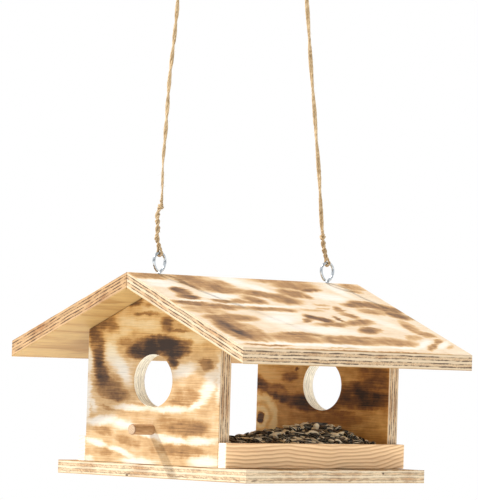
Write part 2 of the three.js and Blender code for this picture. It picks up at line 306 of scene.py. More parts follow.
def two_plies(centre, diameters, pitch, phase, seed):
    """Two plies laid loosely round a centre line, each a tube with an uneven surface."""
    run = run_along(centre)
    lumps = np.arange(0, run[-1] + LUMP_SPACING, LUMP_SPACING)
    rng = np.random.default_rng(seed)
    parts = []
    for ply in range(2):
        angle = phase + ply * math.pi + run * 2 * math.pi / pitch
        offset = (diameters * PLY_OFFSET)[:, None] * around(centre, angle)
        wobble = np.interp(run, lumps, rng.normal(1, 0.06, len(lumps)))
        line = frayed(centre + offset, FRAY, seed + ply + 7)
        parts.append(tube_arrays(line, diameters * PLY_RADIUS * wobble, 10, turn=FIBRE_TURN))
    return parts


def strand_about(line, start_angle, pitch):
    """One of two strands twisted round each other along a common line, a little unevenly."""
    run = run_along(line)
    angle = start_angle + run * 2 * math.pi / pitch + 0.5 * np.sin(run / (4.1 * MM))
    radius = STRAND * (0.47 + 0.05 * np.sin(run / (2.7 * MM) + start_angle))
    return line + radius[:, None] * around(line, angle)


def bight_leg(eye, twist_start, side):
    """Where one leg of the bight closes in above the wire, on its way to the twist."""
    drift = (twist_start.x - eye.x) / (twist_start.z - eye.z)
    return [[eye.x + drift * rise * MM, side * reach * MM, eye.z + rise * MM]
            for reach, rise in LEG_STEPS]


def add_twine(end):
    """The standing part: from the bight's far side, up the twist, to the top knot."""
    hitch = route_points(HITCH_ROUTE[end])
    upper = route_points(TWINE_ROUTE[end])
    eye = eye_top(end)
    strand = strand_about(spline(hitch, STEP), 0, TWIST_PITCH[end])
    foot = [eye + Vector((0, BIGHT_REACH, 0))] + bight_leg(eye, hitch[0], 1)
    lower = spline(foot + [strand[BLEND]], STEP)[:-1]
    above = spline([strand[-1]] + upper, STEP)[1:]
    centre = np.concatenate([lower, strand[BLEND:], above])
    height = (centre[:, 2] - upper[0].z) / MM
    diameters = (THIN_TWINE[end] + THICKENS_BY * smooth(*THICKENS[end], height)) * MM
    plies_of_run = two_plies(centre, diameters, PLY_PITCH[end], PLY_PHASE[end], RUN_SEED[end])
    piece = joined_piece(f"{end}_twine_run", plies_of_run)
    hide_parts(f"{end}_twine")
    path = centre[::4]
    if len(centre) % 4 != 1:
        path = np.vstack([path, centre[-1]])
    return piece, centre, path


def knot_turns(centre, axis, radius, rise, turns, count=60):
    """A few tight turns round a line, for a knot."""
    axis = axis.normalized()
    side = axis.orthogonal().normalized()
    other = axis.cross(side)
    points = []
    for i in range(count + 1):
        t = i / count
        angle = t * turns * 2 * math.pi
        lean = radius * (1 - 0.25 * abs(2 * t - 1) ** 2)
        points.append(centre + axis * rise * (t - 0.5)
                      + side * lean * math.cos(angle) + other * lean * math.sin(angle))
    return points


def add_hitch(end):
    """The twine's tail: under the eye's wire, twisted up round the standing part, and knotted."""
    hitch = route_points(HITCH_ROUTE[end])
    eye = eye_top(end)
    bight = []
    for i in range(13):
        angle = math.pi * i / 12
        bight.append(eye + Vector((0, math.cos(angle), -math.sin(angle))) * BIGHT_REACH)
    bight += bight_leg(eye, hitch[0], -1)
    strand = strand_about(spline(hitch, STEP), math.pi, TWIST_PITCH[end])
    top = hitch[-1]
    knot = knot_turns(top, top - hitch[-2], 2.0 * MM, 3.4 * MM, 1.6)
    nub = [knot[-1] + Vector((-1.6, -0.8, 1.6)) * MM, knot[-1] + Vector((-2.9, -1.0, 4.8)) * MM]
    centre = spline(bight + list(strand[6:-4:6]) + knot[::3] + nub, STEP)
    diameters = np.full(len(centre), STRAND)
    plies_of_tail = two_plies(centre, diameters, TAIL_PITCH, 0.4, TAIL_SEED[end])
    piece = joined_piece(f"{end}_twine_tail", plies_of_tail)
    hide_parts(f"{end}_eye_hitch")
    return piece, centre


def loop_points(foot, knot_z):
    """The loop over the branch, from the knot up, over and back down, its two legs side by side."""
    points = []
    for i in range(33):
        angle = 2 * math.pi * i / 32
        rise = (1 - math.cos(angle)) / 2
        y = LOOP_HALF_WIDTH * math.sin(angle) * (0.62 + 0.38 * rise) + 0.9 * MM * math.cos(angle / 2)
        points.append([foot.x, y, knot_z + (LOOP_TOP - knot_z) * rise**0.8])
    return points


def add_top_loop(end):
    """The loop that goes over the branch, and the knot that closes it."""
    foot = route_points(TWINE_ROUTE[end])[-1]
    middle = foot + Vector((0, 0, KNOT_RISE))
    loop_line = spline(loop_points(foot, middle.z), STEP)
    turns = knot_turns(middle, Vector((0.15, 0.1, 1)), 2.4 * MM, 7.6 * MM, 3.1)
    centre = np.array(middle)
    cross = [centre + np.array(shift) * MM for shift in (
        (-3.6, -0.5, -3), (-1, -3.4, 0), (2.8, -1.6, 3.2), (3.4, 1.4, 5))]
    core = [np.array(foot) - (0, 0, STEP), centre, centre + (0, 0, 5 * MM)]
    parts = []
    for line, size, seed in ((loop_line, 2.7, 51), (spline(turns, STEP), 2.5, 53),
                             (spline(cross, STEP), 2.4, 57), (spline(core, STEP), 3.0, 59)):
        parts += two_plies(line, np.full(len(line), size * MM), LOOP_PITCH, 0.2, seed)
    piece = joined_piece(f"{end}_hanging_loop", parts)
    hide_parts(f"{end}_top_loop")
    return piece, loop_line


def add_fuzz(end, lines):
    """Loose fibres standing out of the twine."""
    rng = np.random.default_rng(FUZZ_SEED[end])
    every = np.concatenate([line[3:-3] for line in lines])
    every = every[every[:, 2] > HINGE.z + FUZZ_CLEAR]
    parts = []
    for _ in range(FUZZ_COUNT):
        at = every[rng.integers(len(every))]
        out = rng.normal(size=3)
        out /= np.linalg.norm(out)
        reach = rng.uniform(0.9, 3.4) * MM
        curl = rng.normal(size=3) * 0.5
        lift = np.array([0, 0, rng.uniform(-1.2, 1.2)])
        t = np.linspace(0, 1, 5)[:, None]
        line = at + out * 0.9 * MM + reach * (t * (out * 0.75 + lift * 0.8) + t**2 * curl * 0.6)
        parts.append(tube_arrays(line, (0.055 * (1 - 0.6 * t[:, 0])) * MM, 3))
    return joined_piece(f"{end}_twine_fuzz", parts, merge=False)


TWINE_PIECES = []


def add_cord(end):
    run, centre, path = add_twine(end)
    tail, tail_line = add_hitch(end)
    loop, loop_line = add_top_loop(end)
    fuzz = add_fuzz(end, [centre, tail_line, loop_line])
    for piece in (run, tail, loop, fuzz):
        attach(piece, "hanger")
        TWINE_PIECES.append(piece)


for end in ENDS:
    add_cord(end)

# ---- Materials ----


def linear(red, green, blue):
    """A colour as a screen shows it, 0 to 255, in linear light."""
    out = []
    for value in (red, green, blue):
        c = value / 255
        out.append(c / 12.92 if c <= 0.04045 else ((c + 0.055) / 1.055) ** 2.4)
    return (*out, 1.0)


class Value:
    """What a node gives out. Arithmetic with it adds nodes that work out the result."""

    def __init__(self, paint, socket):
        self.paint = paint
        self.socket = socket

    def __add__(self, other):
        return self.paint.math("ADD", self, other)

    def __sub__(self, other):
        return self.paint.math("SUBTRACT", self, other)

    def __rsub__(self, other):
        return self.paint.math("SUBTRACT", other, self)

    def __mul__(self, other):
        return self.paint.math("MULTIPLY", self, other)

    def __truediv__(self, other):
        return self.paint.math("DIVIDE", self, other)

    def times(self, factor, plus):
        """This times a factor, plus another value."""
        return self.paint.math("MULTIPLY_ADD", self, factor, plus)


class Paint:
    """A node material, built one call at a time. Values and plain numbers both serve as inputs."""

    def __init__(self, name):
        self.material = bpy.data.materials.new(name)
        self.material.use_nodes = True
        self.tree = self.material.node_tree
        self.tree.nodes.clear()
        self.shader = self.tree.nodes.new("ShaderNodeBsdfPrincipled")
        output = self.tree.nodes.new("ShaderNodeOutputMaterial")
        self.tree.links.new(self.shader.outputs[0], output.inputs[0])

    def put(self, socket, value):
        if isinstance(value, Value):
            self.tree.links.new(value.socket, socket)
        else:
            socket.default_value = value

    def node(self, kind, *values, **settings):
        made = self.tree.nodes.new("ShaderNode" + kind)
        for key, value in settings.items():
            setattr(made, key, value)
        for socket, value in zip(made.inputs, values):
            self.put(socket, value)
        return made

    def out(self, made, which=0):
        return Value(self, made.outputs[which])

    def math(self, operation, *values, clamp=False):
        return self.out(self.node("Math", *values, operation=operation, use_clamp=clamp))

    def vector(self, operation, *values):
        made = self.node("VectorMath", *values, operation=operation)
        return self.out(made, "Value" if operation in ("LENGTH", "DOT_PRODUCT") else "Vector")

    def combine(self, x, y, z=0.0):
        return self.out(self.node("CombineXYZ", x, y, z))

    def noise(self, vector, scale=1.0, detail=2.0, roughness=0.5, distortion=0.0):
        made = self.node("TexNoise")
        self.put(made.inputs["Vector"], vector)
        for key, value in (("Scale", scale), ("Detail", detail), ("Roughness", roughness),
                           ("Distortion", distortion)):
            made.inputs[key].default_value = value
        return self.out(made)

    def step(self, value, low, high, to_low=0.0, to_high=1.0):
        """Goes smoothly from to_low to to_high as value goes from low to high."""
        return self.out(self.node("MapRange", value, low, high, to_low, to_high,
                                  interpolation_type="SMOOTHSTEP"))

    def band(self, value, start, full, fade, end):
        """1 where value lies from full to fade, falling smoothly to 0 at start and at end."""
        return self.step(value, start, full) * self.step(value, fade, end, 1.0, 0.0)

    def mix(self, factor, a, b, blend="MIX"):
        made = self.node("Mix", data_type="RGBA", blend_type=blend)
        colours = [s for s in made.inputs if s.type == "RGBA"]
        self.put(made.inputs[0], factor)
        self.put(colours[0], a)
        self.put(colours[1], b)
        return Value(self, next(s for s in made.outputs if s.type == "RGBA"))

    def multiply(self, colour, by):
        return self.mix(1.0, colour, by, "MULTIPLY")

    def shade(self, colour, by):
        """A colour times one number."""
        return self.multiply(colour, self.combine(by, by, by))

    def ramp(self, value, stops):
        made = self.node("ValToRGB", value)
        elements = made.color_ramp.elements
        while len(elements) < len(stops):
            elements.new(0.5)
        for element, (place, colour) in zip(elements, stops):
            element.position = place
            element.color = colour
        return self.out(made)

    def finish(self, colour, roughness, height, strength, distance, **fixed):
        """Sets the shader's inputs and gives back the material. distance is the bump's height."""
        bump = self.node("Bump")
        bump.inputs["Strength"].default_value = strength
        bump.inputs["Distance"].default_value = distance
        self.put(bump.inputs["Height"], height)
        for key, value in (("Base Color", colour), ("Roughness", roughness),
                           ("Normal", self.out(bump))):
            self.put(self.shader.inputs[key], value)
        for key, value in fixed.items():
            self.shader.inputs[key.replace("_", " ")].default_value = value
        return self.material

    def here(self):
        """The place in the frame, in metres."""
        return self.out(self.node("TexCoord"), "Object")

    def place(self, along, across, depth, origin):
        """Millimetres from an origin along three directions."""
        local = self.vector("SUBTRACT", self.here(), tuple(origin))
        return [self.vector("DOT_PRODUCT", local, tuple(Vector(axis) / MM))
                for axis in (along, across, depth)]


WOOD_ALBEDO = 0.62  # what the lit wood's screen colours are multiplied by


def wood(red, green, blue):
    """A wood's colour in linear light, from how it looks in full studio light."""
    return (*(c * WOOD_ALBEDO for c in linear(red, green, blue)[:3]), 1.0)


SCORCH = [
    (0.0, wood(255, 249, 238)),
    (0.15, wood(251, 233, 208)),
    (0.34, wood(232, 194, 143)),
    (0.52, wood(190, 144, 90)),
    (0.74, wood(128, 90, 56)),
    (1.0, wood(58, 42, 36)),
]
RAW_PLY = wood(250, 226, 190)
DARK_PLY = wood(206, 164, 116)
BURNT_EDGE = wood(170, 118, 74)
CHARRED = wood(120, 78, 48)  # the corners between faces and edges
GLUE_LINE = wood(66, 38, 26)
CUT_PLY_AND_LIGHT = linear(250, 246, 230)  # the freshly cut walls of the round holes: pale wood, and painted light, brighter than the other woods though these walls lie in shade
DASHES = wood(120, 82, 50)  # slanting grain in the lowest ply of the base's edge
RAW_UNDERSIDE = wood(232, 194, 128)
UNDERSIDE_STREAK = wood(200, 154, 92)
GOLDEN_SHADE = (1.12, 1.04, 0.76, 1.0)  # painted warm shade: under the roof's overhang, where its shadow falls, the front gable is tinted more golden
INNER_SHADE_WARMTH = (1.28, 1.02, 0.56, 1.0)  # painted warm shade: the faces inside the house, which lie in shade, are tinted more golden
PLIES = 5
SKIN = (0.35, 0.75)  # a face's colour fades out between these depths, in millimetres
KNOT_RINGS = 11.5  # from one ring to the next
FLATTEN = 1e5  # so that the third coordinate, which only keeps the strokes in order, doesn't count


def strokes_over(paint, u, v, strokes):
    """The strongest of some listed torch strokes at a place.

    Each stroke is (u1, v1, u2, v2, half width, strength): a tapered streak from one point to
    another, in millimetres on the board's face.
    """
    strongest = 0.0
    for u1, v1, u2, v2, width, strength in strokes:
        middle = ((u1 + u2) / 2, (v1 + v2) / 2, 0)
        turn = (0, 0, math.atan2(v2 - v1, u2 - u1))
        reach = math.hypot(u2 - u1, v2 - v1) / 2 + width
        within = paint.out(paint.node("Mapping", paint.combine(u, v, strongest), middle, turn,
                                      (reach, width * 1.2, FLATTEN), vector_type="TEXTURE"))
        level = paint.step(paint.vector("LENGTH", within), 0.33, 1.37, strength, 0.0)
        strongest = paint.math("MAXIMUM", level, strongest)
    return strongest


def wild_scorch(paint, g, w, seed):
    """Scorch without listed strokes: drifting bands and blots along the grain."""
    at = paint.combine(g * (1 / 80), w * (1 / 30), seed)
    bands = paint.noise(at, 1.0, 3.0, 0.45, 0.7)
    blots = paint.noise(paint.vector("ADD", at, (7.3, 2.9, seed)), 1.7, 2.0, 0.4, 0.3)
    return paint.step(bands, 0.42, 0.62, 0.22, 0.56) + paint.step(blots, 0.58, 0.74, 0.0, 0.36)


def scorch(paint, g, w, burnt, pale, base, seed, knots=()):
    """How burnt a face is, from 0 to 1, g along its grain and w across it.

    burnt and pale are strokes_over()'s strokes, pale ones being where the torch passed over. base
    is how burnt the rest is. A face without strokes of its own is scorched at random.
    """
    slow = paint.noise(paint.combine(g, w, seed), 0.035, 2.0)
    feather = paint.noise(paint.combine(g * 0.03, w * 0.5, seed), 1.0, 4.0, 0.6)
    edge = paint.noise(paint.combine(g, w, seed + 5), 0.12, 4.0, 0.65)
    u = g + (feather.times(15.0, -7.5) + slow.times(10.0, -5.0))
    v = w + (edge.times(6.0, -3.0) + slow.times(-5.0, 2.5))
    fibre = paint.noise(paint.combine(g * 0.02, w * 0.75, seed), 1.0, 5.0, 0.72)
    drift = paint.noise(paint.combine(g, w, seed + 9), 0.06, 4.0, 0.6)
    if burnt:
        level = paint.math("MAXIMUM", strokes_over(paint, u, v, burnt), base)
        level = level * (1.0 - strokes_over(paint, u, v, pale))
    else:
        level = wild_scorch(paint, g, v, seed)
    for knot in knots:
        level = knot_figure(paint, g, v, level, *knot)
    patchy = fibre.times(1.3, 0.18) + drift.times(1.1, -0.38)
    return paint.math("MULTIPLY", level, patchy, clamp=True)


def knot_figure(paint, u, v, level, knot_u, knot_v, core, reach):
    """Rings of pale and tan grain round a dark knot."""
    off = paint.combine(u - knot_u, v - knot_v)
    wander = paint.noise(paint.combine(u, v), 0.07, 3.0, 0.6)
    distance = paint.vector("LENGTH", off) + wander.times(14.0, -7.0)
    wave = paint.math("SINE", distance * (2 * math.pi / KNOT_RINGS))
    rings = wave.times(0.13, 0.17)
    dark = paint.step(distance, core * 0.7, core * 1.5, 0.85, 0.0)
    inside = paint.step(distance, reach * 0.82, reach, 1.0, 0.0)
    return inside.times(paint.math("MAXIMUM", rings, dark) - level, level)


def plies(paint, g, w, t, thickness):
    """What the plies look like on a cut edge.

    Gives the grain, how far a ply shows end grain, how dark a glue line is, and how broken the
    glue lines are.
    """
    ply = thickness / PLIES
    wave = paint.noise(paint.combine(g, w, t), 0.035, 2.0)
    t = t + wave.times(1.8, -0.9)
    t = paint.math("MINIMUM", paint.math("MAXIMUM", t, 0.05), thickness - 0.05)
    layer = t / ply
    odd = paint.math("MODULO", paint.math("FLOOR", layer), 2.0)
    long_grain = paint.noise(paint.combine(g * 0.05, w * 1.1, t * 1.6), 1.0, 4.0, 0.65)
    slant = t.times(1.3, g)
    cross_grain = paint.noise(paint.combine(slant * 0.9, w * 0.08, t * 0.5), 1.0, 4.0, 0.7)
    hatch = paint.step(cross_grain, 0.32, 0.66)
    grain = odd.times(hatch - long_grain, long_grain)
    nearest = paint.math("ROUND", layer)
    broken = paint.noise(paint.combine(g * 0.07, w * 0.07, nearest), 1.0, 4.0, 0.7)
    width = paint.step(broken, 0.36, 0.66, 0.24, 1.15)
    line = paint.step(paint.math("ABSOLUTE", layer - nearest) * ply, 0.0, width, 1.0, 0.0)
    strength = paint.step(broken, 0.36, 0.54, 0.25, 1.0)
    inside = paint.band(t, 0.8, 1.4, thickness - 1.4, thickness - 0.8)
    return grain, odd, line * strength * inside, broken


def charred_arris(paint, t, thickness, broken):
    """A thin brown line where the torch caught the corners between a face and its edges."""
    from_face = paint.math("PINGPONG", t, thickness / 2)
    return paint.band(from_face, 0.06, 0.2, 0.5, 1.0) * paint.step(broken, 0.3, 0.6, 0.25, 0.8)


def edge_marks(paint, g, w, t, thickness, colour, knots):
    """Small dark knots on a cut edge, and slanting dashes in the ply farthest from the face."""
    for knot_g, knot_w, knot_t, radius in knots:
        away = paint.combine(g - knot_g, w - knot_w, (t - knot_t) * 1.6)
        knot = paint.step(paint.vector("LENGTH", away), radius * 0.4, radius, 0.85, 0.0)
        colour = paint.mix(knot, colour, GLUE_LINE)
    slanted = t.times(2.6, g + w)
    dash = paint.noise(paint.combine(slanted * 0.11, t * 0.5), 1.0, 3.0, 0.6)
    lowest = paint.band(t, thickness - 4.6, thickness - 3.0, thickness - 1.6, thickness - 0.9)
    return paint.mix(lowest * paint.step(dash, 0.53, 0.62, 0.0, 0.75), colour, DASHES)


def outer_face(paint, g, w, settings, golden):
    face = paint.ramp(scorch(paint, g, w, *settings), SCORCH)
    # Painted warm shade: towards the top, where the roof's overhang shades it, the face is tinted
    # golden.
    if golden:
        face = paint.mix(paint.step(w, *golden), face, paint.multiply(face, GOLDEN_SHADE))
    return face


def inner_face(paint, g, w, settings):
    if settings:
        # Painted warm shade: a scorched inner face lies inside the house, in shade, and is tinted
        # golden.
        return paint.multiply(paint.ramp(scorch(paint, g, w, *settings), SCORCH), INNER_SHADE_WARMTH)
    bands = paint.noise(paint.combine(g * 0.006, w * 0.09), 1.0, 4.0, 0.6, 0.6)
    return paint.mix(paint.step(bands, 0.42, 0.66), RAW_UNDERSIDE, UNDERSIDE_STREAK)


def plywood(name, axes, origin, thickness, outer, inner, edge_tint, edge_burn=0.16, hole=None,
            line_strength=1.0, edge_knots=(), golden=None):
    """Plywood with torch-burnt faces.

    outer and inner are scorch()'s settings; inner is None for a face that the torch didn't reach.
    hole is (along, across, radius) of a round hole, whose freshly cut wall is paler than the other
    edges, and brighter still as painted light on a wall that lies in shade. edge_knots holds (along,
    across, depth, radius) of small dark knots. golden is the height on the outer face where its
    colour starts turning golden, as painted warm shade under the roof, and the height where it has
    turned.
    """
    paint = Paint(name)
    g, w, t = paint.place(*axes, origin)
    grain, odd, line, broken = plies(paint, g, w, t, thickness)
    # Inside the round hole the glue lines and darker plies fade: partly the pale freshly cut wood,
    # partly painted light on a wall in shade.
    if hole:
        from_middle = paint.vector("LENGTH", paint.combine(g - hole[0], w - hole[1]))
        in_hole = paint.step(from_middle, hole[2] + 0.1, hole[2] + 0.4, 1.0, 0.0)
        line = line * in_hole.times(-0.7, 1.0)
        odd = odd * in_hole.times(-0.6, 1.0)
    line = line * line_strength
    blotch = paint.noise(paint.combine(g, w, t), 0.03, 3.0, 0.6)
    colour = paint.mix(odd * paint.step(blotch, 0.3, 0.7, 0.35, 0.8), edge_tint, DARK_PLY)
    colour = paint.mix(paint.step(blotch, 0.46, 0.72, 0.0, edge_burn * 2), colour, BURNT_EDGE)
    colour = paint.mix(charred_arris(paint, t, thickness, broken), colour, CHARRED)
    if hole:
        # Painted light: the hole's wall, pale as freshly cut, is made near-white although it lies in
        # shade.
        colour = paint.mix(in_hole * 0.85, colour, CUT_PLY_AND_LIGHT)
    if edge_knots:
        colour = edge_marks(paint, g, w, t, thickness, colour, edge_knots)
    on_outer = paint.step(t, *SKIN, 1.0, 0.0)
    colour = paint.mix(on_outer, colour, outer_face(paint, g, w, outer, golden))
    on_inner = paint.step(t, thickness - SKIN[1], thickness - SKIN[0])
    colour = paint.mix(on_inner, colour, inner_face(paint, g, w, inner))
    colour = paint.mix(line, paint.shade(colour, grain.times(0.75, 0.62)), GLUE_LINE)
    return paint.finish(colour, grain.times(0.25, 0.5), grain - line * 0.8, 0.35, 0.25 * MM,
                        Specular_IOR_Level=0.3)


# Torch strokes, in millimetres on each face. On a gable: across the feeder, and up from the base.
GABLE_BURNT = [
    (80, 126, 74, 112, 11, 0.76), (72, 122, 70, 84, 9, 0.82), (70, 92, 62, 72, 10, 0.76),
    (84, 128, 54, 136, 9, 0.68), (62, 132, 50, 126, 9, 0.60), (74, 140, 40, 148, 6, 0.68),
    (40, 150, 14, 156, 5, 0.66), (75, 74, 40, 69, 10, 0.74), (68, 67, 30, 63, 7.5, 0.72),
    (66, 84, 34, 76, 6, 0.50), (50, 116, 22, 112, 6, 0.52), (31, 106, -8, 110, 9.5, 1.05),
    (24, 113, -42, 115, 9, 1.0), (-10, 107, -44, 108, 8, 0.92), (6, 119, -14, 120, 4, 0.88),
    (-22, 104, -28, 95, 7, 0.80), (-36, 116, -50, 116, 4, 0.72), (-12, 134, -20, 131, 8.5, 0.74),
    (-20, 128, -50, 127, 2.4, 0.62), (30, 142, -14, 143, 2.4, 0.62), (16, 150, -6, 150, 4, 0.50),
    (30, 136, 0, 137, 2, 0.46), (-62, 98, -74, 94, 7, 0.64), (-58, 112, -72, 116, 3.4, 0.40),
    (-26, 133, -50, 130, 4, 0.42), (-26, 67, -62, 66, 10, 0.50), (-18, 60, -58, 60, 5, 0.54),
    (-34, 76, -60, 78, 5, 0.32), (36, 47, -50, 46, 3.6, 0.40), (10, 42, -78, 40, 6, 0.46),
    (-8, 36, -80, 36, 9, 0.62), (-26, 31, -60, 30, 3.4, 0.50), (-56, 48, -80, 50, 6, 0.42),
    (80, 31, 44, 28, 5.5, 0.50), (54, 27, 10, 16, 6.5, 0.54), (12, 14, -82, 14, 7.5, 0.56),
    (80, 12, 44, 9, 6, 0.46), (40, 12, 8, 6, 4, 0.42), (28, 57, -12, 57, 2.4, 0.48),
    (72, 54, 46, 49, 3.6, 0.50), (-6, 8, -46, 6, 3, 0.42), (78, 56, 66, 50, 4, 0.36),
]
GABLE_PALE = [
    (58, 112, 50, 94, 6, 0.8), (52, 100, 34, 80, 7, 0.92), (62, 118, 30, 128, 5, 0.35),
    (-27, 86, -50, 92, 6, 0.8), (50, 53.5, 0, 52.5, 2.6, 0.85), (6, 52.5, -50, 53, 2.8, 0.85),
    (-48, 54, -68, 63, 3.2, 0.85), (-64, 62, -78, 84, 6, 0.85), (-70, 84, -84, 88, 5, 0.6),
    (86, 38, 46, 41, 4, 0.92), (50, 39, 24, 36, 4.5, 0.9), (24, 30, -18, 26, 3, 0.9),
    (-8, 25, -50, 22, 3, 0.9), (-44, 23, -84, 26, 3.4, 0.85), (86, 21, 56, 16.5, 2.6, 0.85),
    (58, 16, 18, 6, 2.8, 0.85), (40, 3, -6, 2, 3.6, 0.85), (86, 3, 76, 3, 3, 0.6),
    (-52, 4, -86, 6, 5, 0.85), (84.5, 110, 83, 84, 3.4, 0.9), (84, 80, 84, 40, 4, 0.92),
    (80, 62, 74, 52, 3.4, 0.7), (-85, 106, -84, 60, 3.4, 0.7), (40, 134, -4, 132, 6, 0.42),
    (24, 146, -30, 146, 3, 0.35), (-34, 122, -66, 120, 5, 0.4),
]
# On the back gable's inner face. A knot is (across, up, core, how far its rings reach).
BACK_BURNT = [
    (94, 85, 64, 72, 8, 0.84), (72, 75, 40, 64, 9, 0.86), (48, 64, 0, 58, 9.5, 0.84),
    (10, 59, -24, 58, 9, 0.72), (-10, 67, -94, 68, 13, 0.92), (-20, 76, -94, 80, 9, 0.78),
    (-26, 92, -94, 92, 9, 0.70), (-46, 84, -94, 86, 8, 0.74), (56, 84, 32, 87, 6, 0.68),
    (34, 93, 36, 93, 2.6, 0.95), (60, 46, -88, 46, 9, 0.54), (28, 108, -60, 108, 8, 0.56),
    (0, 52, -50, 52, 3, 0.66),
]
BACK_PALE = [
    (-26, 91, -46, 90, 5, 0.3), (84, 96, 62, 84, 9, 0.35), (70, 74, 46, 70, 3, 0.3),
]
BACK_KNOTS = [(81, 45, 4.2, 27)]
# On the near roof panel: along the ridge, and level out from it.
ROOF_BURNT = [
    (-172, -6, -122, -6, 9, 0.56), (-118, -6, -66, -6, 13, 0.56), (-110, -18, -50, -20, 13, 0.56),
    (-116, -8, -98, -32, 6, 0.58), (-96, -28, -34, -30, 9, 0.60), (-60, -12, -46, -16, 8, 0.52),
    (-54, -32, 20, -38, 8, 0.63), (-54, -46, -34, -50, 9, 0.62), (-14, -46, 26, -46, 10, 0.56),
    (-104, -54, -40, -54, 3.4, 0.58), (-78, -52, -60, -52, 5, 0.58), (-8, -4, 96, -2, 8, 0.52),
    (22, -14, 92, -10, 10, 0.58), (18, -30, 48, -30, 10, 0.60), (50, -22, 90, -18, 5, 0.63),
    (54, -34, 46, -38, 5, 0.56), (-142, -36, -124, -36, 8, 0.76), (-150, -48, -122, -48, 6, 0.74),
    (-108, -54, -82, -54, 4.4, 0.65), (-172, -60, -120, -61, 6.5, 0.69), (-150, -66, -70, -67, 7, 0.60),
    (-84, -67, 2, -67, 5.5, 0.56), (0, -66, 46, -66, 3.4, 0.38), (-172, -73, -112, -77, 9, 0.47),
    (-150, -88, -80, -88, 7.5, 0.60), (-156, -92, -122, -92, 9, 0.60),
    (-150, -104, -146, -128, 16, 0.63), (-128, -100, -128, -130, 14, 0.60),
    (-146, -98, -138, -128, 15, 0.72), (-146, -114, -142, -124, 7, 0.83),
    (-116, -104, -112, -130, 12, 0.49), (-112, -127, -30, -127, 11, 0.56),
    (-90, -118, -20, -118, 4.5, 0.63), (-60, -128, 60, -130, 10, 0.56), (30, -128, 104, -128, 10, 0.54),
    (-20, -121, 60, -122, 4, 0.56), (96, -122, 126, -112, 6, 0.43), (-4, -79, 10, -82, 5.5, 0.76),
    (6, -84, 26, -86, 6, 0.78), (-22, -91, -2, -86, 3.6, 0.63), (41.5, -79, 41.5, -86, 4.2, 0.76),
    (40, -93, 94, -83, 6.5, 0.65), (-20, -99, 50, -92, 5, 0.52), (62, -64, 68, -60, 7, 0.58),
    (60, -71, 76, -76, 6, 0.56), (40, -108, 78, -103, 6.5, 0.69), (54, -100, 82, -100, 3.4, 0.69),
    (32, -61, 54, -61, 2.4, 0.47), (34, -52, 64, -53, 2.4, 0.40), (84, -51, 120, -50, 6, 0.63),
    (98, -44, 150, -50, 8, 0.67), (124, -52, 166, -58, 9, 0.69), (92, -62, 134, -63, 7, 0.52),
    (132, -66, 158, -72, 9, 0.67), (62, -30, 70, -31, 3, 0.34), (132, -88, 136, -110, 10, 0.54),
    (128, -106, 154, -110, 6, 0.65), (134, -82, 142, -90, 8, 0.43), (132, -6, 160, -8, 9, 0.49),
    (130, -17, 148, -18, 5, 0.47), (104, -143, 134, -128, 4.4, 0.56), (132, -128, 154, -119, 4.4, 0.52),
    (138, -140, 158, -130, 3, 0.40), (-170, -143, -84, -144, 2.8, 0.58),
    (-172, -150, 166, -150, 1.8, 0.52), (-60, -145, 10, -145, 1.6, 0.38),
]
ROOF_PALE = [
    (-168, -17, -126, -19, 4, 0.9), (-166, -26, -126, -24, 4.5, 0.85), (-40, -4, -24, -12, 10, 0.95),
    (-24, -14, 2, -26, 6.5, 0.95), (-106, -42, -64, -42, 4, 0.95), (-114, -47, -84, -47, 3, 0.8),
    (64, -32, 100, -36, 8, 0.85), (110, -10, 116, -28, 8, 0.8), (-72, -92, -24, -84, 8, 0.9),
    (-60, -104, 30, -110, 8, 0.85), (-168, -140, 60, -140, 2.8, 0.95), (40, -139, 98, -140, 2.6, 0.95),
    (94, -139, 130, -120, 3, 0.95), (126, -138, 158, -124, 3, 0.9), (-60, -74, -10, -74, 3.6, 0.7),
    (86, -72, 118, -100, 7, 0.6), (-168, -55, -110, -55.5, 1.8, 0.8), (-108, -60, 30, -60, 2, 0.8),
]


def board_axes(kind, side):
    """Grain, across and depth directions of a board, and where they are measured from."""
    if kind == "gable":
        return ((0, 1, 0), (0, 0, 1), (-side, 0, 0)), (side * GABLE_REACH, 0, BASE_TOP)
    cos, sin = math.cos(PITCH), math.sin(PITCH)
    return ((1, 0, 0), (0, -side, 0), (0, -side * sin, -cos)), (0, 0, RIDGE)


def wild(seed):
    """scorch()'s settings for a face with no strokes of its own."""
    return None, None, 0.1, seed


